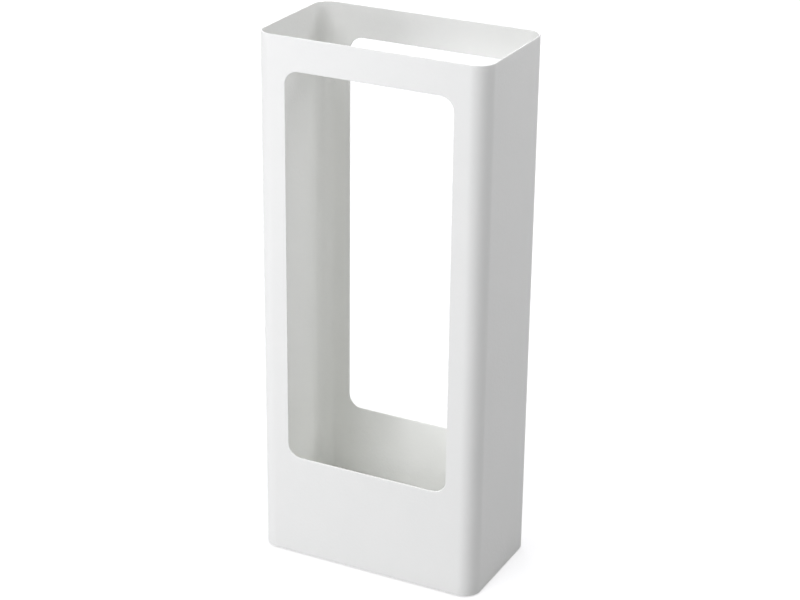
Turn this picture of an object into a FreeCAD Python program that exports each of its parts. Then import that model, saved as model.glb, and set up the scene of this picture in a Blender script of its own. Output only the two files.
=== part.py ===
import FreeCAD, Part
import math
import os
import Sketcher
from FreeCAD import Placement, Rotation, Vector

# A free-standing umbrella stand of sheet steel: an open-topped rectangular tube with rounded upright
# corners and a tall window in its front and rear walls. The tube is two U-bent halves, butt-welded down
# the middle of the side walls. A flanged pan closes the bottom, a moulded tray lies loose on the pan,
# and four pads lift the steel off the floor.
# Millimetres. The front faces -Y, the side walls face -X and +X, and +Z is up. The origin is on the
# floor under the middle of the stand.

doc = FreeCAD.newDocument("UmbrellaStand")

# ---------------------------------------------------------------- driving dimensions

DIMENSIONS = (
    ("overall_width", 220.0, "tube, outside, along X"),
    ("overall_depth", 120.0, "tube, outside, along Y"),
    ("overall_height", 500.0, "floor to rim"),
    ("corner_radius", 16.0, "upright corners of the tube, outside"),
    ("sheet_thickness", 1.5, "all the steel sheet"),
    ("side_rail", 30.0, "side of the tube to the window"),
    ("top_rail", 30.0, "rim to the window"),
    ("bottom_rail", 100.0, "bottom edge of the tube to the window"),
    ("window_radius", 13.0, "corners of the windows"),
    ("edge_break", 0.4, "rounding of the cut edges of the sheet"),
    ("seam_gap", 1.5, "root gap between the two halves, which the weld fills"),
    ("foot_gap", 1.0, "floor to the bottom edge of the tube"),
    ("pan_recess", 1.0, "bottom edge of the tube up to the underside of the pan"),
    ("flange_height", 12.0, "outside height of the pan"),
    ("bend_radius", 1.0, "inside radius of the bends of the pan"),
    ("flange_corner", 3.0, "rounding of the upper corners of the flanges"),
    ("tray_height", 26.0, "drip tray, outside"),
    ("tray_wall", 2.0, "walls, floor and lip of the tray"),
    ("tray_draft", 3.0, "slope of the tray's walls, degrees"),
    ("tray_seat_gap", 4.5, "foot of the tray to the flanges of the pan"),
    ("tray_clearance", 1.5, "lip of the tray to the inside of the tube"),
    ("tray_corner_ease", 5.0, "extra rounding of the lip's corners, past following the tube's"),
    ("tray_edge", 1.5, "rounding where the tray's walls meet its floor"),
    ("lip_edge", 0.6, "rounding of the tray's lip, ribs and grip tabs"),
    ("rib_count", 5, "ribs that keep umbrella tips out of the water"),
    ("rib_height", 2.5, "ribs above the tray's floor"),
    ("rib_width", 3.0, "ribs, across"),
    ("rib_end_gap", 12.0, "ends of the ribs to the short walls"),
    ("tab_width", 26.0, "grip tabs on the short walls, along Y"),
    ("tab_height", 11.0, "grip tabs above the rim of the tray"),
    ("tab_radius", 6.0, "upper corners of the grip tabs"),
    ("pad_diameter", 14.0, "foot pads"),
    ("pad_inset", 24.0, "centres of the pads to the outside of the tube"),
    ("pad_edge", 0.6, "rounding of the pads' lower edge"),
)

sizes = doc.addObject("Spreadsheet::Sheet", "Sizes")
for row, (alias, number, meaning) in enumerate(DIMENSIONS, start=1):
    sizes.set(f"A{row}", alias)
    sizes.set(f"B{row}", str(number))
    sizes.set(f"C{row}", meaning)
    sizes.setAlias(f"B{row}", alias)
doc.recompute()

# Sizes that follow from the driving ones, as expressions on the sheet.
INNER_WIDTH = "(Sizes.overall_width - 2 * Sizes.sheet_thickness)"
INNER_DEPTH = "(Sizes.overall_depth - 2 * Sizes.sheet_thickness)"
INNER_RADIUS = "(Sizes.corner_radius - Sizes.sheet_thickness)"
TUBE_HEIGHT = "(Sizes.overall_height - Sizes.foot_gap)"
WINDOW_WIDTH = "(Sizes.overall_width - 2 * Sizes.side_rail)"
WINDOW_HEIGHT = f"({TUBE_HEIGHT} - Sizes.bottom_rail - Sizes.top_rail)"
PAN_BOTTOM = "(Sizes.foot_gap + Sizes.pan_recess)"
BEND_OUTER = "(Sizes.bend_radius + Sizes.sheet_thickness)"
PAN_INNER_WIDTH = f"({INNER_WIDTH} - 2 * Sizes.sheet_thickness)"
PAN_INNER_DEPTH = f"({INNER_DEPTH} - 2 * Sizes.sheet_thickness)"
FOOT_WIDTH = f"({PAN_INNER_WIDTH} - 2 * Sizes.tray_seat_gap)"
FOOT_DEPTH = f"({PAN_INNER_DEPTH} - 2 * Sizes.tray_seat_gap)"
LIP_WIDTH = f"({INNER_WIDTH} - 2 * Sizes.tray_clearance)"
LIP_DEPTH = f"({INNER_DEPTH} - 2 * Sizes.tray_clearance)"
LIP_RADIUS = f"({INNER_RADIUS} - Sizes.tray_clearance + Sizes.tray_corner_ease)"
FOOT_RADIUS = f"({LIP_RADIUS} - ({LIP_WIDTH} - {FOOT_WIDTH}) / 2)"
CAVITY_WIDTH = f"({FOOT_WIDTH} - 2 * Sizes.tray_wall)"
CAVITY_DEPTH = f"({FOOT_DEPTH} - 2 * Sizes.tray_wall)"
CAVITY_RADIUS = f"({FOOT_RADIUS} - Sizes.tray_wall)"
CAVITY_HEIGHT = "(Sizes.tray_height - Sizes.tray_wall)"
RIM_CAVITY_WIDTH = f"({CAVITY_WIDTH} + 2 * {CAVITY_HEIGHT} * tan(Sizes.tray_draft))"
RIB_PITCH = f"({CAVITY_DEPTH} / (Sizes.rib_count + 1))"


def value(expression):
    """The number that an expression on the sheet gives."""
    return float(sizes.evalExpression(expression))


# ---------------------------------------------------------------- ways of building

HORIZONTAL_AXIS = -1  # how a sketch numbers its own axes; the first point of either is its origin
VERTICAL_AXIS = -2
ORIGIN_POINT = (HORIZONTAL_AXIS, 1)
SAME_PLACE = 1e-4  # millimetres within which two places count as one


def new_body(name):
    """An empty body whose label is the name of its file."""
    body = doc.addObject("PartDesign::Body", name)
    body.Label = name
    return body


def origin_plane(body, role):
    """One of the three planes of the body's own origin."""
    return next(feature for feature in body.Origin.OriginFeatures if feature.Role == role)


def new_sketch(body, name, plane="XY_Plane", right=None, up=None, out=None):
    """A sketch on one of the body's own planes, moved in its own axes by the given expressions."""
    sketch = body.newObject("Sketcher::SketchObject", name)
    sketch.AttachmentSupport = (origin_plane(body, plane), "")
    sketch.MapMode = "FlatFace"
    for axis, expression in (("x", right), ("y", up), ("z", out)):
        if expression:
            sketch.setExpression(f"AttachmentOffset.Base.{axis}", expression)
    return sketch


def name_and_bind(sketch, constraint, name, expression):
    """Add a size to a sketch under a name and bind it to the sheet."""
    index = sketch.addConstraint(constraint)
    sketch.renameConstraint(index, name)
    sketch.setExpression(f"Constraints.{name}", expression)


def draw_rectangle(sketch, width, height, centre=None):
    """A rectangle about the sketch's origin or about a centre given as two expressions."""
    x, y = (value(place) for place in centre) if centre else (0.0, 0.0)
    half_width = value(width) / 2
    half_height = value(height) / 2
    corners = (
        Vector(x - half_width, y - half_height, 0),
        Vector(x + half_width, y - half_height, 0),
        Vector(x + half_width, y + half_height, 0),
        Vector(x - half_width, y + half_height, 0),
    )
    first = sketch.GeometryCount
    for start, end in zip(corners, corners[1:] + corners[:1]):
        sketch.addGeometry(Part.LineSegment(start, end), False)
    bottom, right, top, left = range(first, first + 4)
    for line, following in ((bottom, right), (right, top), (top, left), (left, bottom)):
        sketch.addConstraint(Sketcher.Constraint("Coincident", line, 2, following, 1))
    for line in (bottom, top):
        sketch.addConstraint(Sketcher.Constraint("Horizontal", line))
    for line in (right, left):
        sketch.addConstraint(Sketcher.Constraint("Vertical", line))
    suffix = f"_{first}" if first else ""
    across = Sketcher.Constraint("DistanceX", bottom, 1, bottom, 2, 2 * half_width)
    name_and_bind(sketch, across, f"width{suffix}", width)
    along = Sketcher.Constraint("DistanceY", right, 1, right, 2, 2 * half_height)
    name_and_bind(sketch, along, f"height{suffix}", height)
    if centre:
        low_x = Sketcher.Constraint("DistanceX", *ORIGIN_POINT, bottom, 1, x - half_width)
        name_and_bind(sketch, low_x, f"left{suffix}", f"{centre[0]} - {width} / 2")
        low_y = Sketcher.Constraint("DistanceY", *ORIGIN_POINT, bottom, 1, y - half_height)
        name_and_bind(sketch, low_y, f"low{suffix}", f"{centre[1]} - {height} / 2")
    else:
        sketch.addConstraint(Sketcher.Constraint("Symmetric", bottom, 1, right, 2, *ORIGIN_POINT))


def draw_rounded_rectangle(sketch, width, height, radius):
    """A rectangle with four equal rounded corners about the sketch's origin."""
    half_width = value(width) / 2
    half_height = value(height) / 2
    corner = value(radius)
    x = half_width - corner
    y = half_height - corner
    quarter = math.pi / 2
    lines = (
        (Vector(-x, -half_height, 0), Vector(x, -half_height, 0)),
        (Vector(half_width, -y, 0), Vector(half_width, y, 0)),
        (Vector(x, half_height, 0), Vector(-x, half_height, 0)),
        (Vector(-half_width, y, 0), Vector(-half_width, -y, 0)),
    )
    centres = (Vector(x, -y, 0), Vector(x, y, 0), Vector(-x, y, 0), Vector(-x, -y, 0))
    for side, ((start, end), centre) in enumerate(zip(lines, centres), start=-1):
        circle = Part.Circle(centre, Vector(0, 0, 1), corner)
        arc = Part.ArcOfCircle(circle, side * quarter, (side + 1) * quarter)
        sketch.addGeometry([Part.LineSegment(start, end), arc], False)
    bottom, first_arc, right, second_arc, top, third_arc, left, last_arc = range(8)
    for piece in range(8):
        following = (piece + 1) % 8
        sketch.addConstraint(Sketcher.Constraint("Tangent", piece, 2, following, 1))
    for arc in (second_arc, third_arc, last_arc):
        sketch.addConstraint(Sketcher.Constraint("Equal", first_arc, arc))
    sketch.addConstraint(Sketcher.Constraint("Horizontal", top))
    sketch.addConstraint(Sketcher.Constraint("Vertical", left))
    sketch.addConstraint(Sketcher.Constraint("Symmetric", bottom, 1, bottom, 2, VERTICAL_AXIS))
    sketch.addConstraint(Sketcher.Constraint("Symmetric", right, 1, right, 2, HORIZONTAL_AXIS))
    across = Sketcher.Constraint("DistanceX", left, 1, right, 1, 2 * half_width)
    name_and_bind(sketch, across, "width", width)
    along = Sketcher.Constraint("DistanceY", bottom, 1, top, 1, 2 * half_height)
    name_and_bind(sketch, along, "height", height)
    rounding = Sketcher.Constraint("Radius", first_arc, corner)
    name_and_bind(sketch, rounding, "radius", radius)


def pad(body, sketch, name, length, taper=None):
    """Add the sketch's outline, carried along its normal by the length and sloping out by the taper."""
    feature = body.newObject("PartDesign::Pad", name)
    feature.Profile = sketch
    feature.setExpression("Length", length)
    if taper:
        feature.setExpression("TaperAngle", taper)
    return finish_feature(body, feature, 1)


def pocket(body, sketch, name, length=None, taper=None):
    """Cut the sketch's outline away along its normal, by the length or, with none, all the way."""
    feature = body.newObject("PartDesign::Pocket", name)
    feature.Profile = sketch
    feature.Reversed = True
    if length:
        feature.setExpression("Length", length)
    else:
        feature.Type = "ThroughAll"
    if taper:
        feature.setExpression("TaperAngle", taper)
    return finish_feature(body, feature, -1)


def finish_feature(body, feature, sign):
    """Recompute a feature and make sure that it added (+1) or removed (-1) something."""
    before = feature.BaseFeature.Shape.Volume if feature.BaseFeature else 0.0
    doc.recompute()
    change = feature.Shape.Volume - before
    if change * sign <= 0:
        raise ValueError(f"{body.Label}: {feature.Name} changes the volume by {change:.3f} mm3")
    return feature


def fillet(body, feature, name, radius, chosen):
    """Round those edges of a feature that the test picks."""
    edges = [f"Edge{number}" for number, edge in enumerate(feature.Shape.Edges, start=1) if chosen(edge)]
    if not edges:
        raise ValueError(f"{body.Label}: {name} finds no edge")
    rounded = body.newObject("PartDesign::Fillet", name)
    rounded.Base = (feature, edges)
    rounded.setExpression("Radius", radius)
    doc.recompute()
    return rounded


def edge_points(edge):
    """Points along an edge that show where it runs."""
    return edge.discretize(5)


def level(edge, height):
    """Whether an edge lies at one height of its body."""
    return all(abs(point.z - height) < SAME_PLACE for point in edge_points(edge))


def crosses_sheet(edge, height, thickness):
    """Whether an edge is a straight one at that height, as short as the wall is thick."""
    return level(edge, height) and abs(edge.Length - thickness) < SAME_PLACE


# ---------------------------------------------------------------- the tube

def make_half_shell(name, turn):
    """One U-bent half of the tube, drawn as the front one and turned about Z by the angle."""
    body = new_body(name)
    outside = new_sketch(body, f"{name}_outside")
    draw_rounded_rectangle(outside, "Sizes.overall_width", "Sizes.overall_depth", "Sizes.corner_radius")
    pad(body, outside, f"{name}_tube", TUBE_HEIGHT)

    inside = new_sketch(body, f"{name}_inside")
    draw_rounded_rectangle(inside, INNER_WIDTH, INNER_DEPTH, INNER_RADIUS)
    pocket(body, inside, f"{name}_hollow")

    other_half = new_sketch(body, f"{name}_other_half", up="(Sizes.overall_depth - Sizes.seam_gap) / 2")
    draw_rectangle(other_half, "2 * Sizes.overall_width", "Sizes.overall_depth")
    pocket(body, other_half, f"{name}_seam_edge")

    centre_height = f"Sizes.bottom_rail + {WINDOW_HEIGHT} / 2"
    window = new_sketch(body, f"{name}_window_outline", plane="XZ_Plane", up=centre_height)
    draw_rounded_rectangle(window, WINDOW_WIDTH, WINDOW_HEIGHT, "Sizes.window_radius")
    cut = pocket(body, window, f"{name}_window")

    half_window = value(WINDOW_WIDTH) / 2 + SAME_PLACE
    low = value("Sizes.bottom_rail") - SAME_PLACE
    high = value(f"Sizes.bottom_rail + {WINDOW_HEIGHT}") + SAME_PLACE
    seam = -value("Sizes.seam_gap") / 2

    def cut_edge(edge):
        """An edge round the window, the rim or the bottom, but not one at the seam."""
        points = edge_points(edge)
        if level(edge, 0.0) or level(edge, value(TUBE_HEIGHT)):
            return any(abs(point.y - seam) > SAME_PLACE for point in points)
        along_wall = abs(points[0].y - points[-1].y) < SAME_PLACE
        return along_wall and all(abs(point.x) < half_window and low < point.z < high for point in points)

    fillet(body, cut, f"{name}_broken_edges", "Sizes.edge_break", cut_edge)
    body.Placement = Placement(Vector(), Rotation(Vector(0, 0, 1), turn))
    body.setExpression("Placement.Base.z", "Sizes.foot_gap")
    return body


def make_seam_weld(name, side):
    """The weld that fills the root gap in one side wall, ground flush with both of its faces."""
    body = new_body(name)
    place = f"{side} * (Sizes.overall_width - Sizes.sheet_thickness) / 2"
    section = new_sketch(body, f"{name}_section", right=place)
    draw_rectangle(section, "Sizes.sheet_thickness", "Sizes.seam_gap")
    run = pad(body, section, f"{name}_run", TUBE_HEIGHT)

    def end_edge(edge):
        """An edge of the strip's upper or lower end that carries on an edge of the sheet."""
        along_wall = edge.Vertexes[0].X == edge.Vertexes[-1].X
        return along_wall and (level(edge, 0.0) or level(edge, value(TUBE_HEIGHT)))

    fillet(body, run, f"{name}_broken_edges", "Sizes.edge_break", end_edge)
    body.setExpression("Placement.Base.z", "Sizes.foot_gap")
    return body


# ---------------------------------------------------------------- the bottom

def make_base_pan():
    """The floor of the stand: a plate with four flanges, turned up and welded to the straight walls."""
    body = new_body("base_pan")
    outside = new_sketch(body, "pan_outside")
    draw_rounded_rectangle(outside, INNER_WIDTH, INNER_DEPTH, INNER_RADIUS)
    blank = pad(body, outside, "pan_blank", "Sizes.flange_height")
    fillet(body, blank, "pan_outer_bend", BEND_OUTER, lambda edge: level(edge, 0.0))

    inside = new_sketch(body, "pan_inside", out="Sizes.sheet_thickness")
    inner_corner = f"({INNER_RADIUS} - Sizes.sheet_thickness)"
    draw_rounded_rectangle(inside, PAN_INNER_WIDTH, PAN_INNER_DEPTH, inner_corner)
    hollow = pocket(body, inside, "pan_hollow")
    thickness = value("Sizes.sheet_thickness")
    fillet(body, hollow, "pan_inner_bend", "Sizes.bend_radius", lambda edge: level(edge, thickness))

    notches = new_sketch(body, "pan_notch_outlines")
    notch_side = f"(2 * {INNER_RADIUS})"
    for x_side in (-1, 1):
        for y_side in (-1, 1):
            corner = (f"({x_side} * {INNER_WIDTH} / 2)", f"({y_side} * {INNER_DEPTH} / 2)")
            draw_rectangle(notches, notch_side, notch_side, corner)
    pocket(body, notches, "pan_notches")

    plate = new_sketch(body, "pan_plate_outline")
    plate_width = f"({INNER_WIDTH} - 2 * {BEND_OUTER})"
    plate_depth = f"({INNER_DEPTH} - 2 * {BEND_OUTER})"
    draw_rounded_rectangle(plate, plate_width, plate_depth, f"({INNER_RADIUS} - {BEND_OUTER})")
    whole = pad(body, plate, "pan_plate", "Sizes.sheet_thickness")

    top = value("Sizes.flange_height")
    fillet(body, whole, "pan_flange_corners", "Sizes.flange_corner",
           lambda edge: crosses_sheet(edge, top, thickness))
    body.setExpression("Placement.Base.z", PAN_BOTTOM)
    return body


def make_foot_pad(name, x_side, y_side):
    """One self-adhesive pad under the pan, near a corner."""
    body = new_body(name)
    outline = new_sketch(body, f"{name}_outline")
    outline.addGeometry(Part.Circle(Vector(), Vector(0, 0, 1), value("Sizes.pad_diameter") / 2), False)
    outline.addConstraint(Sketcher.Constraint("Coincident", 0, 3, -1, 1))
    across = Sketcher.Constraint("Diameter", 0, value("Sizes.pad_diameter"))
    name_and_bind(outline, across, "diameter", "Sizes.pad_diameter")
    disc = pad(body, outline, f"{name}_disc", PAN_BOTTOM)
    fillet(body, disc, f"{name}_edge", "Sizes.pad_edge", lambda edge: level(edge, 0.0))
    body.setExpression("Placement.Base.x", f"{x_side} * (Sizes.overall_width / 2 - Sizes.pad_inset)")
    body.setExpression("Placement.Base.y", f"{y_side} * (Sizes.overall_depth / 2 - Sizes.pad_inset)")
    return body


# ---------------------------------------------------------------- the loose tray

def make_tray_shell(body):
    """The tray's floor, sloping walls and out-turned lip."""
    foot = new_sketch(body, "tray_foot")
    draw_rounded_rectangle(foot, FOOT_WIDTH, FOOT_DEPTH, FOOT_RADIUS)
    block = pad(body, foot, "tray_block", "Sizes.tray_height", taper="Sizes.tray_draft")
    fillet(body, block, "tray_foot_edge", "Sizes.tray_edge", lambda edge: level(edge, 0.0))

    lip_outline = new_sketch(body, "tray_lip_outline", out="Sizes.tray_height - Sizes.tray_wall")
    draw_rounded_rectangle(lip_outline, LIP_WIDTH, LIP_DEPTH, LIP_RADIUS)
    lip = pad(body, lip_outline, "tray_lip", "Sizes.tray_wall")
    rim = value("Sizes.tray_height")
    under_lip = rim - value("Sizes.tray_wall")
    fillet(body, lip, "tray_lip_edges", "Sizes.lip_edge",
           lambda edge: level(edge, rim) or (level(edge, under_lip) and on_lip(edge)))

    floor_outline = new_sketch(body, "tray_floor_outline", out="Sizes.tray_wall")
    draw_rounded_rectangle(floor_outline, CAVITY_WIDTH, CAVITY_DEPTH, CAVITY_RADIUS)
    cavity = pocket(body, floor_outline, "tray_cavity", CAVITY_HEIGHT, taper="Sizes.tray_draft")
    floor_level = value("Sizes.tray_wall")
    fillet(body, cavity, "tray_floor_edge", "Sizes.tray_edge", lambda edge: level(edge, floor_level))


def on_lip(edge):
    """Whether an edge runs round the outside of the tray's lip and not round its wall."""
    corner = value(LIP_RADIUS)
    x_centre = value(LIP_WIDTH) / 2 - corner
    y_centre = value(LIP_DEPTH) / 2 - corner

    def on_outline(point):
        x = max(abs(point.x) - x_centre, 0.0)
        y = max(abs(point.y) - y_centre, 0.0)
        return abs(math.hypot(x, y) - corner) < SAME_PLACE

    return all(on_outline(point) for point in edge_points(edge))


def add_ribs(body):
    """Parallel ribs on the tray's floor, evenly spaced between its long walls."""
    first_place = f"-(Sizes.rib_count - 1) / 2 * {RIB_PITCH}"
    outline = new_sketch(body, "rib_outline", up=first_place, out="Sizes.tray_wall")
    draw_rectangle(outline, f"({CAVITY_WIDTH} - 2 * Sizes.rib_end_gap)", "Sizes.rib_width")
    first_rib = pad(body, outline, "first_rib", "Sizes.rib_height")
    ribs = body.newObject("PartDesign::LinearPattern", "ribs")
    ribs.Originals = [first_rib]
    ribs.Direction = (outline, ["V_Axis"])
    ribs.setExpression("Occurrences", "Sizes.rib_count")
    ribs.setExpression("Length", f"(Sizes.rib_count - 1) * {RIB_PITCH}")
    body.Tip = ribs
    doc.recompute()
    rib_top = value("Sizes.tray_wall + Sizes.rib_height")
    fillet(body, ribs, "rib_edges", "Sizes.lip_edge", lambda edge: level(edge, rib_top))


def add_grip_tabs(body):
    """An upright tab in the middle of each short wall, to pinch when the tray is lifted."""
    base_height = "(Sizes.tray_height - Sizes.tray_wall / 2)"
    tab_top = "(Sizes.tray_height + Sizes.tab_height)"
    outline = new_sketch(body, "tab_outline", plane="YZ_Plane", up=f"({base_height} + {tab_top}) / 2",
                         out=f"{RIM_CAVITY_WIDTH} / 2")
    draw_rectangle(outline, "Sizes.tab_width", f"({tab_top} - {base_height})")
    right_tab = pad(body, outline, "right_grip_tab", "Sizes.tray_wall")
    both_tabs = body.newObject("PartDesign::Mirrored", "both_grip_tabs")
    both_tabs.Originals = [right_tab]
    both_tabs.MirrorPlane = (origin_plane(body, "YZ_Plane"), [""])
    body.Tip = both_tabs
    doc.recompute()
    top = value(tab_top)
    thickness = value("Sizes.tray_wall")
    fillet(body, both_tabs, "tab_corners", "Sizes.tab_radius",
           lambda edge: crosses_sheet(edge, top, thickness))


def make_drip_tray():
    """The moulded tray that catches the water and stands loose on the pan."""
    body = new_body("drip_tray")
    make_tray_shell(body)
    add_ribs(body)
    add_grip_tabs(body)
    body.setExpression("Placement.Base.z", f"{PAN_BOTTOM} + Sizes.sheet_thickness")
    return body


pieces = [
    make_half_shell("front_shell", 0),
    make_half_shell("rear_shell", 180),
    make_seam_weld("left_seam_weld", -1),
    make_seam_weld("right_seam_weld", 1),
    make_base_pan(),
    make_drip_tray(),
]
for y_side, end in ((-1, "front"), (1, "rear")):
    for x_side, hand in ((-1, "left"), (1, "right")):
        pieces.append(make_foot_pad(f"foot_pad_{end}_{hand}", x_side, y_side))

# ---------------------------------------------------------------- check and write

doc.recompute()
for item in doc.Objects:
    if "Invalid" in item.State or "Error" in item.State:
        raise ValueError(f"{item.Label} failed: {item.State}")
os.makedirs("parts", exist_ok=True)
for piece in pieces:
    shape = piece.Shape
    if shape.isNull() or not shape.isValid() or len(shape.Solids) != 1:
        raise ValueError(f"{piece.Label} is not one valid solid")
for piece in pieces:
    piece.Shape.exportStep(f"parts/{piece.Label}.step")
    print(f"{piece.Label}: {piece.Shape.Volume:.1f} mm3")
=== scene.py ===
import math

import bmesh
import bpy
import numpy as np
from mathutils import Matrix, Vector


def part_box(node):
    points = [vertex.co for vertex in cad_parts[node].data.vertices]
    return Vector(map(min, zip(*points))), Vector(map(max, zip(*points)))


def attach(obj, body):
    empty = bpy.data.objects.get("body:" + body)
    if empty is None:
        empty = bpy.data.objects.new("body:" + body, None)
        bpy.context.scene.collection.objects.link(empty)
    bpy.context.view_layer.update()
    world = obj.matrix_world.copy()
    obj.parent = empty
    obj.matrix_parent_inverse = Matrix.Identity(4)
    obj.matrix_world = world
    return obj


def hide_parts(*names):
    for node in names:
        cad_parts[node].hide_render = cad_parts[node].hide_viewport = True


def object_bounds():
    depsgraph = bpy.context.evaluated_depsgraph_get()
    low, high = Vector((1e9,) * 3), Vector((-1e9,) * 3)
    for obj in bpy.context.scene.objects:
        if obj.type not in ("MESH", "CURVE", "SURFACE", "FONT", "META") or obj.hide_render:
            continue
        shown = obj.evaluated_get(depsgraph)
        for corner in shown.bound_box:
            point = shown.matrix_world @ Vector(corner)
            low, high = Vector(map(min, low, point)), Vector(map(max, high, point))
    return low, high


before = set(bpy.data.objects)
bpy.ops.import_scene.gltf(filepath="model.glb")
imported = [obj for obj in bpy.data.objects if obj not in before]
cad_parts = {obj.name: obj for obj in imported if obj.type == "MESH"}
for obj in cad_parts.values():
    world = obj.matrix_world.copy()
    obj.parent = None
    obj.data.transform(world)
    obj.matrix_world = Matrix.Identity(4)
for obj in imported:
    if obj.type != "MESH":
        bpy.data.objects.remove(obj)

CAD_BOX = [list(corner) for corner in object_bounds()]

# An umbrella stand of bent sheet steel with a white powder coat, with a moulded drip tray in its foot.
# Metres, in the frame of the CAD model: the front faces -Y, +Z is up and the origin is on the floor
# under the middle of the stand.

MM = 0.001
SAME = 1e-9  # metres within which two places count as one
WELD_STEP = 1e-7  # metres: points that round to the same step of it become one vertex
CREASE = math.radians(32)  # faces that meet at more than this are shaded with a sharp edge

LOW, HIGH = (np.array(corner) for corner in CAD_BOX)
WIDTH, DEPTH, HEIGHT = HIGH - LOW
SHELL_LOW, SHELL_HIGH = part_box("front_shell")
TUBE_LOW, TUBE_HIGH = SHELL_LOW[2], SHELL_HIGH[2]
SEAM = -SHELL_HIGH[1]  # half the width of the weld

SHEET = 1.5 * MM
BEND = 16 * MM  # outside radius of the upright bends
FLAT = WIDTH / 2 - BEND  # half the flat of the front, bend to bend
BEND_END = FLAT + BEND * math.pi / 2  # along the sheet, from the middle of the front
REACH = BEND_END + DEPTH / 2 - BEND - SEAM  # the same, to the seam
WINDOW_MARGIN = 30 * MM
WINDOW_LOW = TUBE_LOW + 100 * MM
WINDOW_HIGH = TUBE_HIGH - WINDOW_MARGIN
WINDOW_CORNER = 13 * MM
COATED_EDGE = 0.55 * MM  # how far the powder rounds a cut edge of the sheet

PAN_LOW, PAN_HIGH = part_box("base_pan")
PAN_CORNER = BEND - SHEET  # the flanges stop where the bends of the tube begin
PAN_BEND = 2.5 * MM  # outside radius of the bends of the pan
FLANGE_CORNER = 3 * MM
PAN_EDGE = 0.4 * MM  # how far the powder rounds the pan's cut edges

TRAY_LOW, TRAY_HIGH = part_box("drip_tray")
TRAY_WALL = 2 * MM
TRAY_HEIGHT = 26 * MM  # without its grip tabs
TRAY_DRAFT = math.tan(math.radians(3))
TRAY_EDGE = 1.5 * MM
LIP_EDGE = 0.6 * MM
LIP_ROOT = 0.3 * MM  # rounding between the wall and the underside of the lip
LIP_CORNER = 18 * MM
LIP_OVERHANG = 4.5 * MM  # the foot of the wall lies this far inside the lip
RIB_COUNT = 5
RIB_HEIGHT = 2.5 * MM
RIB_WIDTH = 3 * MM
RIB_END_GAP = 12 * MM  # ends of the ribs to the foot of the short walls
RIB_FOOT = 0.4 * MM
TAB_WIDTH = 26 * MM
TAB_CORNER = 6 * MM
TAB_ROOT = 1 * MM  # how deep a grip tab goes into the lip

PAD_EDGE = 0.6 * MM
PAD_LEAN = 0.1 * MM  # how far the pad's side leans in, up to its film
PAD_SHOULDER = 0.15 * MM  # rounding where the side ends at the film
FILM_THICKNESS = 0.25 * MM
FILM_INSET = 0.4 * MM  # the adhesive film's rim lies this far inside the pad's
FILM_EDGE = 0.05 * MM


# ------------------------------------------------------------------ mesh helpers

def grid_faces(rows, columns, close_columns):
    """The quads of a grid whose vertex (row, column) has the number row * columns + column."""
    column = np.arange(columns if close_columns else columns - 1)
    next_column = (column + 1) % columns
    here = np.arange(rows - 1)[:, None] * columns
    corners = [here + column, here + columns + column, here + columns + next_column, here + next_column]
    return np.stack(corners, -1).reshape(-1, 4)


def patch(points, close_columns=False):
    """A (rows, columns, 3) array of points and its quads."""
    return points.reshape(-1, 3), grid_faces(*points.shape[:2], close_columns)


def loops(points):
    """A stack of closed loops, (rows, around, 3), and its quads."""
    return patch(points, close_columns=True)


def fan(loop):
    """The flat end of a stack: one loop and the triangles from it to its middle."""
    return loops(np.stack([loop, np.broadcast_to(loop.mean(0), loop.shape)]))


def weld(parts):
    """Joins (points, quads) parts into one mesh: points in one place become one, and quads that this
    flattens become triangles or go."""
    offsets = np.cumsum([0] + [len(points) for points, _ in parts])
    points = np.vstack([points for points, _ in parts])
    quads = np.vstack([quads + offset for (_, quads), offset in zip(parts, offsets)])
    places = np.round(points / WELD_STEP)
    _, kept, number = np.unique(places, axis=0, return_index=True, return_inverse=True)
    quads = number.ravel()[quads]
    faces = []
    for quad in quads.tolist():
        corners = [corner for place, corner in enumerate(quad) if corner != quad[place - 1]]
        if len(set(corners)) == len(corners) > 2:
            faces.append(corners)
    return points[kept], faces


def make_piece(name, solids, material, body, nodes):
    """One object made of solids, each a list of patches, that stands for the CAD nodes. Each solid is
    closed by its patches, so its faces can be turned outwards together."""
    points, faces = [], []
    for parts in solids:
        solid_points, solid_faces = weld(parts)
        start = sum(len(p) for p in points)
        points.append(solid_points)
        faces += [[corner + start for corner in face] for face in solid_faces]
    mesh = bpy.data.meshes.new(name)
    mesh.from_pydata(np.vstack(points).tolist(), [], faces)
    shape = bmesh.new()
    shape.from_mesh(mesh)
    bmesh.ops.recalc_face_normals(shape, faces=shape.faces)
    shape.to_mesh(mesh)
    shape.free()
    mesh.shade_smooth()
    mesh.set_sharp_from_angle(angle=CREASE)
    mesh.materials.append(material)
    piece = bpy.data.objects.new(name, mesh)
    bpy.context.scene.collection.objects.link(piece)
    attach(piece, body)
    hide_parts(*nodes)
    return piece


# ------------------------------------------------------------------ lines and loops

def with_supports(stops, counts, support):
    """Values through the stops, evenly spaced in each span, with one more value close to each stop."""
    values = [stops[0]]
    for low, high, count in zip(stops, stops[1:], counts):
        inner = np.linspace(low, high, count + 1)[1:-1]
        values += [low + support, *inner, high - support, high]
    return np.array(sorted(values))


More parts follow.
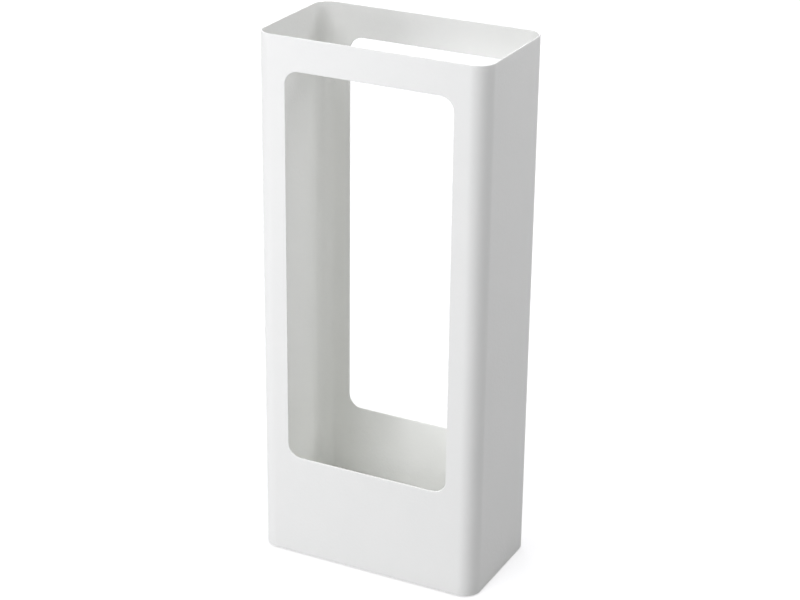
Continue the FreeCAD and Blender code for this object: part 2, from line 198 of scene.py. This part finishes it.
def rounded_profile(corners, steps=4, support=0.2 * MM):
    """A line through (out, height, radius) corners: an arc tangent to both sides at each corner, and one
    more point a little way from each arc, which keeps the flats flat where they are shaded."""
    line = [np.array(corners[0][:2])]
    for before, corner, after in zip(corners, corners[1:], corners[2:]):
        here, radius = np.array(corner[:2]), corner[2]
        back, ahead = (np.array(other[:2]) - here for other in (before, after))
        back, ahead = back / np.linalg.norm(back), ahead / np.linalg.norm(ahead)
        half = math.acos(np.dot(back, ahead)) / 2
        tangent = radius / math.tan(half)
        centre = here + (back + ahead) / np.linalg.norm(back + ahead) * radius / math.sin(half)
        share = np.linspace(0, 1, steps + 1)[:, None]
        chord = here + tangent * (back + share * (ahead - back)) - centre
        arc = centre + radius * chord / np.linalg.norm(chord, axis=1, keepdims=True)
        line += [arc[0] + support * back, *arc, arc[-1] + support * ahead]
    line.append(np.array(corners[-1][:2]))
    return np.array(line).T


def loop_stops(across, along, arc_steps):
    """How a loop goes round a rounded rectangle, anticlockwise: at each point, its share of the flat
    half sizes, from -1 to 1, and the angle that it faces. `across` and `along` are the shares on the
    sides that run along X and along the other axis, and a quarter turn follows each side."""
    turn = np.linspace(0, math.pi / 2, arc_steps + 1)[1:-1]
    corners = np.array([(-1, -1), (1, -1), (1, 1), (-1, 1)])
    stops = []
    for side in range(4):
        start, end = corners[side], corners[(side + 1) % 4]
        shares = np.array(along if side % 2 else across)[:, None]
        facing = math.pi / 2 * (side - 1)
        stops.append(np.insert((start + end) / 2 + shares * (end - start) / 2, 2, facing, axis=1))
        stops.append(np.column_stack([np.tile(end, (len(turn), 1)), facing + turn]))
    return np.vstack(stops).T


def rounded_loops(flat_x, flat_y, radius, stops, middle=(0, 0)):
    """Loops round rounded rectangles, one for each row of sizes: the share of the flat half sizes, then
    out by the radius the way that the loop faces."""
    share_x, share_y, facing = stops
    flat_x, flat_y, radius = (np.atleast_1d(size)[:, None] for size in (flat_x, flat_y, radius))
    x = middle[0] + share_x * flat_x + radius * np.cos(facing)
    y = middle[1] + share_y * flat_y + radius * np.sin(facing)
    return np.broadcast_arrays(x, y)


def square_loop(flat_x, flat_y, half_x, low, high, stops, middle_y):
    """The same loop drawn out to a plain rectangle: the sides keep their shares of the flats, and half of
    each quarter turn runs along one side to the corner and half along the next."""
    share_x, share_y, facing = stops
    tilt = np.arcsin(np.abs(np.cos(facing))) / (math.pi / 4)
    to_side, to_end = np.minimum(tilt, 1), np.minimum(2 - tilt, 1)
    margin = np.where(share_y > 0, high - middle_y - flat_y, low - middle_y + flat_y)
    x = share_x * (flat_x + to_side * (half_x - flat_x))
    y = middle_y + share_y * flat_y + to_end * margin
    return x, y


def raised(x, y, z):
    """Points from three arrays that stretch to one shape."""
    return np.stack(np.broadcast_arrays(x, y, z), -1)


# ------------------------------------------------------------------ the folded tube

def edge_profile():
    """The cut edge of the sheet from its outer face to its inner face, as how far each point lies back
    from the edge and how deep under the outer face: a quarter round, a flat and a quarter round."""
    turn = np.linspace(0, math.pi / 2, 5)
    back = COATED_EDGE * (1 - np.sin(turn))
    deep = COATED_EDGE * (1 - np.cos(turn))
    return np.concatenate([back, back[::-1]]), np.concatenate([deep, SHEET - deep[::-1]])


def fold(along, height, deep, rear):
    """Wraps the flat half sheet round the tube. A point `along` the outer face from the middle of the
    front goes straight to the bend, round it by the angle (along - FLAT) / BEND, then straight back
    along the side wall. `deep` moves it square to the face, into the sheet."""
    along, height, deep = np.broadcast_arrays(along, height, deep)
    run = np.abs(along)
    angle = np.clip((run - FLAT) / BEND, 0, math.pi / 2)
    x = np.sign(along) * (np.minimum(run, FLAT) + (BEND - deep) * np.sin(angle))
    y = -DEPTH / 2 + BEND - (BEND - deep) * np.cos(angle) + np.maximum(run - BEND_END, 0)
    turned = -1 if rear else 1
    return raised(turned * x, turned * y, height)


def half_shell_parts(rear):
    """One U-bent half of the tube: the front flat round its window, two bends and two half side walls,
    each outside and inside, closed by the rounded edges of the rim, the bottom and the window and by
    the flat faces at the seams."""
    back, deep = edge_profile()
    low, high = TUBE_LOW + back[0], TUBE_HIGH - back[0]
    window_middle = (WINDOW_LOW + WINDOW_HIGH) / 2
    window_x = WIDTH / 2 - WINDOW_MARGIN - WINDOW_CORNER
    window_z = (WINDOW_HIGH - WINDOW_LOW) / 2 - WINDOW_CORNER
    stops = loop_stops(np.linspace(-1, 1, 11), np.linspace(-1, 1, 21), arc_steps=14)
    window = rounded_loops([window_x], [window_z], WINDOW_CORNER + back, stops, (0, window_middle))
    frame_x, frame_z = square_loop(window_x, window_z, FLAT, low, high, stops, window_middle)
    share = with_supports([0, 1], [4], 0.02)[:, None]
    face_x = window[0][0] + share * (frame_x - window[0][0])
    face_z = window[1][0] + share * (frame_z - window[1][0])
    parts = [loops(fold(face_x, face_z, depth, rear)) for depth in (0, SHEET)]
    parts.append(loops(fold(*window, deep[:, None], rear)))

    heights = np.unique(np.round(frame_z[frame_x > FLAT - SAME], 9))
    front = np.unique(np.round(frame_x[frame_z > high - SAME], 9))
    wall = with_supports([FLAT, BEND_END, REACH], [28, 3], 0.25 * MM)
    ends = np.repeat(heights[:, None], len(back), 1)
    ends[0], ends[-1] = TUBE_LOW + back, TUBE_HIGH - back
    for side in (-1, 1):
        for depth in (0, SHEET):
            parts.append(patch(fold(side * wall[None, :], heights[:, None], depth, rear)))
        parts.append(patch(fold(np.full_like(ends, side * REACH), ends, deep[None, :], rear)))
    around = np.concatenate([-wall[::-1], front[1:-1], wall])
    for edge in (TUBE_LOW + back, TUBE_HIGH - back):
        parts.append(patch(fold(around[None, :], edge[:, None], deep[:, None], rear)))
    return parts


def seam_weld_parts(side):
    """The ground weld: the sheet's own section, with its rounded ends, carried across the root gap."""
    back, deep = edge_profile()
    x = side * (WIDTH / 2 - deep)
    across = np.array([-SEAM, SEAM])
    span = np.linspace(TUBE_LOW + back[0], TUBE_HIGH - back[0], 9)
    parts = [patch(raised(side * (WIDTH / 2 - depth), across[None, :], span[:, None]))
             for depth in (0, SHEET)]
    for edge in (TUBE_LOW + back, TUBE_HIGH - back):
        parts.append(patch(raised(x[:, None], across[None, :], edge[:, None])))
    ends = np.repeat(span[:, None], len(back), 1)
    ends[0], ends[-1] = TUBE_LOW + back, TUBE_HIGH - back
    return parts + [patch(raised(x[None, :], y, ends)) for y in across]


# ------------------------------------------------------------------ the pan in the foot

def pan_arm(reach):
    """One arm of the pan's outside, from its flat out to the bend and up the flange: how far out each row
    lies, its height, and how much its ends draw in for the rounded corners of the flange."""
    low, top = PAN_LOW[2], PAN_HIGH[2]
    section = [(reach - PAN_CORNER, low), (reach, low, PAN_BEND), (reach, top)]
    out, height = rounded_profile(section, steps=8)
    rise = FLANGE_CORNER * np.sin(np.linspace(0, math.pi / 2, 7))
    height = np.concatenate([height[:-1], top - FLANGE_CORNER + rise])
    out = np.concatenate([out[:-1], np.full(len(rise), reach)])
    above = np.maximum(height - top + FLANGE_CORNER, 0)
    return out, height, FLANGE_CORNER - np.sqrt(FLANGE_CORNER ** 2 - above ** 2)


def pan_parts():
    """The outer face of the pan: a flat, four flanges that turn up along its straight sides and a
    quarter disc of the floor at each corner, between the flanges."""
    flat_x, flat_y = PAN_HIGH[0] - PAN_CORNER, PAN_HIGH[1] - PAN_CORNER
    share = np.linspace(-1, 1, 9)[None, :]
    parts = [patch(raised(flat_x * share, flat_y * share.T, PAN_LOW[2]))]
    for side in (-1, 1):
        for reach, flat, along_x in ((PAN_HIGH[1], flat_x, True), (PAN_HIGH[0], flat_y, False)):
            out, height, drawn_in = (size[:, None] for size in pan_arm(reach))
            ends = share * (flat - drawn_in)
            x, y = (ends, side * out) if along_x else (side * out, ends)
            parts.append(patch(raised(x, y, height)))
    out, height, _ = pan_arm(PAN_CORNER)
    disc = out[height < PAN_LOW[2] + SAME][:, None]
    turn = np.linspace(0, math.pi / 2, 9)[None, :]
    for x_side in (-1, 1):
        for y_side in (-1, 1):
            x = x_side * (flat_x + disc * np.cos(turn))
            y = y_side * (flat_y + disc * np.sin(turn))
            parts.append(patch(raised(x, y, PAN_LOW[2])))
    return parts


def make_base_pan(material):
    """The pan's outer face, thickened inwards to the sheet, with its cut edges rounded by the coat."""
    pan = make_piece("floor_pan", [pan_parts()], material, "stand", ["base_pan"])
    sheet = pan.modifiers.new("sheet", "SOLIDIFY")
    sheet.thickness = SHEET
    sheet.offset = -1
    sheet.use_even_offset = True
    edges = pan.modifiers.new("coated_edges", "BEVEL")
    edges.width = PAN_EDGE
    edges.segments = 3
    edges.limit_method = "ANGLE"
    edges.angle_limit = math.radians(50)
    pan.modifiers.new("flat_faces", "WEIGHTED_NORMAL")


# ------------------------------------------------------------------ the moulded tray

def rib_places():
    """Where the ribs lie along Y, and the edges of the strips of floor that hold one rib each."""
    floor_depth = 2 * (TRAY_HIGH[1] - LIP_OVERHANG - TRAY_WALL)
    places = (np.arange(RIB_COUNT) - (RIB_COUNT - 1) / 2) * floor_depth / (RIB_COUNT + 1)
    edge = TRAY_HIGH[1] - LIP_CORNER
    between = (places[1:] + places[:-1]) / 2
    return places, np.concatenate([[-edge], between, [edge]])


def tray_parts():
    """The tray as one skin. A section through floor, wall and lip is carried round the rounded
    rectangle. The rest of the floor is one strip to each rib, and the strip rises round the rib: a
    small sweep at its foot, an upright side, a rounded top edge and a flat top, closed on its axis."""
    foot, floor = TRAY_LOW[2], TRAY_LOW[2] + TRAY_WALL
    flat_x, flat_y = TRAY_HIGH[0] - LIP_CORNER, TRAY_HIGH[1] - LIP_CORNER
    places, strips = rib_places()
    rib_radius = RIB_WIDTH / 2
    rib_flat = flat_x + LIP_CORNER - LIP_OVERHANG - TRAY_WALL - RIB_END_GAP - rib_radius
    top = floor + RIB_HEIGHT
    out, height = rounded_profile([(rib_radius + RIB_FOOT, floor), (rib_radius, floor, RIB_FOOT),
                                   (rib_radius, top, LIP_EDGE), (0, top)], support=0.05 * MM)
    stops = loop_stops(np.linspace(-1, 1, 7), [0], arc_steps=6)
    parts = []
    edge_x, edge_y = [], []
    for place, low, high in zip(places, strips, strips[1:]):
        rib_x, rib_y = rounded_loops(rib_flat, [0], out[1:], stops, (0, place))
        square_x, square_y = square_loop(rib_flat, 0, flat_x, low, high, stops, place)
        share = np.array([0, 0.06, 1])[:, None]
        strip_x = rib_x[0] + share * (square_x - rib_x[0])
        strip_y = rib_y[0] + share * (square_y - rib_y[0])
        parts += [loops(raised(strip_x, strip_y, floor)), loops(raised(rib_x, rib_y, height[1:, None]))]
        edge_x.append(square_x[square_y < low + SAME])
        edge_y.append(square_y[square_x > flat_x - SAME])

    across = np.unique(np.round(np.concatenate(edge_x) / flat_x, 9))
    along = np.unique(np.round(np.concatenate(edge_y) / flat_y, 9))
    rim = foot + TRAY_HEIGHT
    under_lip = rim - TRAY_WALL
    wall_foot = LIP_CORNER - LIP_OVERHANG
    slope = (under_lip - foot) * TRAY_DRAFT
    section = [(0, foot), (wall_foot, foot, TRAY_EDGE), (wall_foot + slope, under_lip, LIP_ROOT),
               (LIP_CORNER, under_lip, LIP_EDGE), (LIP_CORNER, rim, LIP_EDGE),
               (wall_foot - TRAY_WALL + slope, rim, LIP_EDGE), (wall_foot - TRAY_WALL, floor, TRAY_EDGE),
               (0, floor)]
    out, height = rounded_profile(section)
    stops = loop_stops(across, along, arc_steps=10)
    x, y = rounded_loops([flat_x], [flat_y], out, stops)
    skin = raised(x, y, height[:, None])
    return parts + [loops(skin), fan(skin[0])]


def grip_tab_parts(side):
    """A tongue that stands on the lip: level sections, each a thin rounded rectangle, one over another.
    Towards the top their width follows the quarter rounds of the tongue's corners, and last of all
    they shrink to round its upper edge."""
    top = TRAY_HIGH[2]
    lip = TRAY_LOW[2] + TRAY_HEIGHT
    turn = np.linspace(0, math.pi / 2, 15)
    height = np.concatenate([[lip - TAB_ROOT], top - TAB_CORNER * (1 - np.sin(turn))])
    half_width = TAB_WIDTH / 2 - TAB_CORNER + TAB_CORNER * np.concatenate([[1], np.cos(turn)])
    last = np.clip((height - top + LIP_EDGE) / LIP_EDGE, 0, 1)
    radius = LIP_EDGE * np.sqrt(1 - last ** 2)
    cavity = TRAY_HIGH[0] - LIP_OVERHANG - TRAY_WALL + (TRAY_HEIGHT - TRAY_WALL) * TRAY_DRAFT
    stops = loop_stops([-1, 1], np.linspace(-1, 1, 9), arc_steps=4)
    x, y = rounded_loops([TRAY_WALL / 2 - LIP_EDGE], half_width - LIP_EDGE, radius, stops,
                         (side * (cavity + TRAY_WALL / 2), 0))
    tongue = raised(x, y, height[:, None])
    return [loops(tongue), fan(tongue[0]), fan(tongue[-1])]


# ------------------------------------------------------------------ the foot pads

def foot_pad_parts(node):
    """A turned disc: a section carried round a circle, with a rounded lower edge, a side that leans in a
    little and the thinner ring of its adhesive film under the pan."""
    low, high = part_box(node)
    radius = (high[0] - low[0]) / 2
    film_radius, film = radius - FILM_INSET, high[2] - FILM_THICKNESS
    section = [(0, low[2]), (radius, low[2], PAD_EDGE), (radius - PAD_LEAN, film, PAD_SHOULDER),
               (film_radius, film, FILM_EDGE), (film_radius, high[2], FILM_EDGE), (0, high[2])]
    out, height = rounded_profile(section, support=0.02 * MM)
    stops = loop_stops([0], [0], arc_steps=12)
    middle = ((low[0] + high[0]) / 2, (low[1] + high[1]) / 2)
    return [loops(raised(*rounded_loops([0], [0], out, stops, middle), height[:, None]))]


# ------------------------------------------------------------------ materials

def linear(code):
    """A colour written as six sRGB hex digits, as linear red, green, blue and alpha."""
    values = [int(code[place:place + 2], 16) / 255 for place in (0, 2, 4)]
    return [v / 12.92 if v <= 0.04045 else ((v + 0.055) / 1.055) ** 2.4 for v in values] + [1.0]


def add(tree, kind, settings=None, inputs=None, links=None):
    """Adds a node, sets its properties and sockets, and links its sockets to outputs of other nodes."""
    node = tree.nodes.new(kind)
    for key, value in (settings or {}).items():
        setattr(node, key, value)
    for key, value in (inputs or {}).items():
        node.inputs[key].default_value = value
    for key, output in (links or {}).items():
        tree.links.new(output, node.inputs[key])
    return node


def new_material(name):
    """An empty node material, with its tree."""
    material = bpy.data.materials.new(name)
    material.use_nodes = True
    material.node_tree.nodes.clear()
    return material, material.node_tree


def powder_coat():
    """White polyester powder coat on sheet steel. The powder is sprayed on dry and baked, when it melts
    and flows out into one film. The eye gets a satin white with a shallow orange peel, a sheen that
    varies a little from place to place, and a tone that drifts slightly with the film's thickness."""
    material, tree = new_material("white_powder_coat")
    place = add(tree, "ShaderNodeTexCoord").outputs["Object"]
    # Orange peel is 1.5 to 3 mm from crest to crest and about 0.01 mm deep: drawn deeper, to show.
    peel = add(tree, "ShaderNodeTexNoise", links={"Vector": place},
               inputs={"Scale": 1 / (2.6 * MM), "Detail": 1.5, "Roughness": 0.45}).outputs["Fac"]
    # Fine pigment and flow mottle, under 0.5 mm on the real film, is drawn at 1.1 mm to show at all.
    mottle = add(tree, "ShaderNodeTexNoise", inputs={"Scale": 1 / (1.1 * MM), "Detail": 2.0},
                 links={"Vector": place}).outputs["Fac"]
    # The film is 60 to 90 microns thick and drifts over several centimetres.
    film = add(tree, "ShaderNodeTexNoise", inputs={"Scale": 1 / (55 * MM), "Detail": 2.0, "Roughness": 0.5},
               links={"Vector": place}).outputs["Fac"]
    tone = add(tree, "ShaderNodeMix", {"data_type": "RGBA"},
               {"A": linear("F6F7F3"), "B": linear("FAFAF6")}, {"Factor": film})
    sheen = add(tree, "ShaderNodeMapRange", inputs={"To Min": 0.38, "To Max": 0.5}, links={"Value": mottle})
    bump = add(tree, "ShaderNodeBump", inputs={"Strength": 1.0, "Distance": 0.16 * MM},
               links={"Height": peel})
    shader = add(tree, "ShaderNodeBsdfPrincipled", inputs={"IOR": 1.5},
                 links={"Base Color": tone.outputs["Result"], "Roughness": sheen.outputs["Result"],
                        "Normal": bump.outputs["Normal"]})
    add(tree, "ShaderNodeOutputMaterial", links={"Surface": shader.outputs["BSDF"]})
    return material


def moulded_polypropylene():
    """White polypropylene, injection-moulded in a spark-eroded tool. The eye gets a soft matt white a
    shade duller than the coat, with the tool's fine even grain."""
    material, tree = new_material("white_moulded_polypropylene")
    place = add(tree, "ShaderNodeTexCoord").outputs["Object"]
    # The grain of a spark-eroded tool is about 0.2 mm: drawn at 0.7 mm, so that it shows.
    grain = add(tree, "ShaderNodeTexNoise", links={"Vector": place},
                inputs={"Scale": 1 / (0.7 * MM), "Detail": 3.0, "Roughness": 0.6}).outputs["Fac"]
    # Flow and cooling leave broad, faint differences of tone.
    flow = add(tree, "ShaderNodeTexNoise", inputs={"Scale": 1 / (40 * MM), "Detail": 1.0},
               links={"Vector": place}).outputs["Fac"]
    tone = add(tree, "ShaderNodeMix", {"data_type": "RGBA"},
               {"A": linear("F1F2EF"), "B": linear("F5F6F4")}, {"Factor": flow})
    sheen = add(tree, "ShaderNodeMapRange", inputs={"To Min": 0.5, "To Max": 0.66}, links={"Value": grain})
    bump = add(tree, "ShaderNodeBump", inputs={"Strength": 0.6, "Distance": 0.03 * MM},
               links={"Height": grain})
    shader = add(tree, "ShaderNodeBsdfPrincipled", inputs={"IOR": 1.49},
                 links={"Base Color": tone.outputs["Result"], "Roughness": sheen.outputs["Result"],
                        "Normal": bump.outputs["Normal"]})
    add(tree, "ShaderNodeOutputMaterial", links={"Surface": shader.outputs["BSDF"]})
    return material


def pad_elastomer():
    """Pale grey thermoplastic elastomer, die-cut from sheet. The eye gets a dead matt, slightly dusty
    grey with a leathery grain that keeps it from sliding."""
    material, tree = new_material("grey_pad_elastomer")
    place = add(tree, "ShaderNodeTexCoord").outputs["Object"]
    # The sheet's grain is about 0.5 mm from pore to pore.
    grain = add(tree, "ShaderNodeTexVoronoi", inputs={"Scale": 1 / (0.5 * MM)}, links={"Vector": place})
    dust = add(tree, "ShaderNodeTexNoise", inputs={"Scale": 1 / (4 * MM), "Detail": 3.0},
               links={"Vector": place}).outputs["Fac"]
    tone = add(tree, "ShaderNodeMix", {"data_type": "RGBA"},
               {"A": linear("BDBDBA"), "B": linear("CACAC7")}, {"Factor": dust})
    bump = add(tree, "ShaderNodeBump", inputs={"Strength": 0.8, "Distance": 0.05 * MM},
               links={"Height": grain.outputs["Distance"]})
    shader = add(tree, "ShaderNodeBsdfPrincipled", inputs={"Roughness": 0.85, "IOR": 1.5},
                 links={"Base Color": tone.outputs["Result"], "Normal": bump.outputs["Normal"]})
    add(tree, "ShaderNodeOutputMaterial", links={"Surface": shader.outputs["BSDF"]})
    return material


# ------------------------------------------------------------------ build

coat = powder_coat()
for half in ("front", "rear"):
    shell = half_shell_parts(rear=half == "rear")
    make_piece(f"{half}_half", [shell], coat, "stand", [f"{half}_shell"])
for side, seam in ((-1, "left_seam"), (1, "right_seam")):
    make_piece(seam, [seam_weld_parts(side)], coat, "stand", [f"{seam}_weld"])
make_base_pan(coat)
make_piece("water_tray", [tray_parts(), grip_tab_parts(-1), grip_tab_parts(1)], moulded_polypropylene(),
           "tray", ["drip_tray"])
elastomer = pad_elastomer()
for corner in ("front_left", "front_right", "rear_left", "rear_right"):
    node = f"foot_pad_{corner}"
    make_piece(f"pad_{corner}", [foot_pad_parts(node)], elastomer, "stand", [node])

# ------------------------------------------------------------------ studio

MIDDLE = Vector((0, 0, HEIGHT / 2))
LAMP_WHITE = "FAFAFF"  # daylight lamps, a trace cooler than the coat
SKY_STRENGTH = 0.15
VIEW_AZIMUTH = 26.571
VIEW_ELEVATION = 23.282
VIEW_ROLL = 0.7
VIEW_DISTANCE = 1897.44 * MM
VIEW_ASIDE = 2.436 * MM  # the camera stands this far to the right of the line through the middle
VIEW_ABOVE = 0.496 * MM
LENS = 94.7516  # focal length in millimetres
SENSOR = 36  # width in millimetres
FLOOR_REACH = 6.0
FLOOR_DROP = 0.2 * MM

scene = bpy.context.scene
scene.view_settings.view_transform = "Standard"


def direction(azimuth, elevation):
    """The way from the stand to a camera or lamp: azimuth from the front to the right, in degrees."""
    turn, rise = math.radians(azimuth), math.radians(elevation)
    return Vector((math.sin(turn) * math.cos(rise), -math.cos(turn) * math.cos(rise), math.sin(rise)))


def add_camera():
    """A long lens from the front right and above, turned a little about its own axis."""
    back = direction(VIEW_AZIMUTH, VIEW_ELEVATION)
    roll = math.radians(VIEW_ROLL)
    level = Vector((0, 0, 1)).cross(back).normalized()
    upright = back.cross(level)
    right = math.cos(roll) * level + math.sin(roll) * upright
    up = math.cos(roll) * upright - math.sin(roll) * level
    camera = bpy.data.objects.new("camera", bpy.data.cameras.new("camera"))
    camera.data.sensor_width = SENSOR
    camera.data.lens = LENS
    camera.data.clip_end = 100
    scene.collection.objects.link(camera)
    place = MIDDLE + back * VIEW_DISTANCE + right * VIEW_ASIDE + up * VIEW_ABOVE
    camera.matrix_world = Matrix.Translation(place) @ Matrix((right, up, back)).transposed().to_4x4()
    scene.camera = camera


def add_softbox(name, azimuth, elevation, distance, size, watts):
    """A square area lamp that faces the middle of the stand and isn't seen itself."""
    lamp = bpy.data.lights.new(name, "AREA")
    lamp.shape = "SQUARE"
    lamp.size = size
    lamp.energy = watts
    lamp.color = linear(LAMP_WHITE)[:3]
    holder = bpy.data.objects.new(name, lamp)
    away = direction(azimuth, elevation)
    holder.location = MIDDLE + away * distance
    holder.rotation_mode = "QUATERNION"
    holder.rotation_quaternion = away.to_track_quat("Z", "Y")
    holder.visible_camera = False
    scene.collection.objects.link(holder)


def seen_rays(tree):
    """One for rays that see the backdrop directly or through gloss or glass, else nought."""
    path = add(tree, "ShaderNodeLightPath")
    either = add(tree, "ShaderNodeMath", {"operation": "MAXIMUM"},
                 links={0: path.outputs["Is Camera Ray"], 1: path.outputs["Is Glossy Ray"]})
    return add(tree, "ShaderNodeMath", {"operation": "MAXIMUM"},
               links={0: either.outputs[0], 1: path.outputs["Is Transmission Ray"]}).outputs[0]


def add_world(strength):
    """An even sky for light, which reads as plain white where it is seen."""
    world = bpy.data.worlds.new("studio")
    world.use_nodes = True
    tree = world.node_tree
    tree.nodes.clear()
    light = add(tree, "ShaderNodeBackground", inputs={"Color": linear("FFFFFF"), "Strength": strength})
    white = add(tree, "ShaderNodeBackground", inputs={"Color": linear("FFFFFF"), "Strength": 1.0})
    mix = add(tree, "ShaderNodeMixShader",
              links={0: seen_rays(tree), 1: light.outputs[0], 2: white.outputs[0]})
    add(tree, "ShaderNodeOutputWorld", links={"Surface": mix.outputs[0]})
    scene.world = world


def add_floor():
    """A wide white floor that keeps a soft shadow. It lights the stand as a pale grey floor would. Where
    it is seen it is pale paper with a glow, which grows with distance as the lamps' light thins out.
    It is clear from below, and lies a hair under the pads, so that the underside can be looked at."""
    mesh = bpy.data.meshes.new("floor")
    square = [(-1, -1), (1, -1), (1, 1), (-1, 1)]
    corners = [(x * FLOOR_REACH, y * FLOOR_REACH, -FLOOR_DROP) for x, y in square]
    mesh.from_pydata(corners, [], [(0, 1, 2, 3)])
    material, tree = new_material("white_floor")
    grey = add(tree, "ShaderNodeBsdfDiffuse", inputs={"Color": linear("AAAAAA")})
    paper = add(tree, "ShaderNodeBsdfDiffuse", inputs={"Color": linear("C4C4C4")})
    place = add(tree, "ShaderNodeTexCoord").outputs["Object"]
    far = add(tree, "ShaderNodeVectorMath", {"operation": "LENGTH"}, links={0: place}).outputs["Value"]
    near, distant = 0.1, 3.3
    strength = add(tree, "ShaderNodeMapRange",
                   inputs={"From Min": near, "From Max": distant, "To Min": 0.6, "To Max": 1.0},
                   links={"Value": far})
    glow = add(tree, "ShaderNodeEmission", inputs={"Color": linear("FFFFFF")},
               links={"Strength": strength.outputs["Result"]})
    white = add(tree, "ShaderNodeAddShader", links={0: paper.outputs[0], 1: glow.outputs[0]})
    top = add(tree, "ShaderNodeMixShader",
              links={0: seen_rays(tree), 1: grey.outputs[0], 2: white.outputs[0]})
    clear = add(tree, "ShaderNodeBsdfTransparent")
    below = add(tree, "ShaderNodeNewGeometry").outputs["Backfacing"]
    both = add(tree, "ShaderNodeMixShader", links={0: below, 1: top.outputs[0], 2: clear.outputs[0]})
    add(tree, "ShaderNodeOutputMaterial", links={"Surface": both.outputs[0]})
    mesh.materials.append(material)
    floor = bpy.data.objects.new("floor", mesh)
    scene.collection.objects.link(floor)


add_camera()
add_world(SKY_STRENGTH)
add_floor()
add_softbox("key_softbox", azimuth=-15, elevation=32, distance=7, size=3.2, watts=172)
add_softbox("top_softbox", azimuth=0, elevation=88, distance=5, size=3, watts=93)
add_softbox("low_left_softbox", azimuth=-34, elevation=3, distance=1.4, size=0.6, watts=6.3)
add_softbox("front_right_softbox", azimuth=40, elevation=10, distance=3, size=1.2, watts=5.2)
add_softbox("right_softbox", azimuth=120, elevation=40, distance=1.6, size=0.7, watts=6.3)
add_softbox("rear_left_softbox", azimuth=219, elevation=7, distance=6, size=2.5, watts=200)
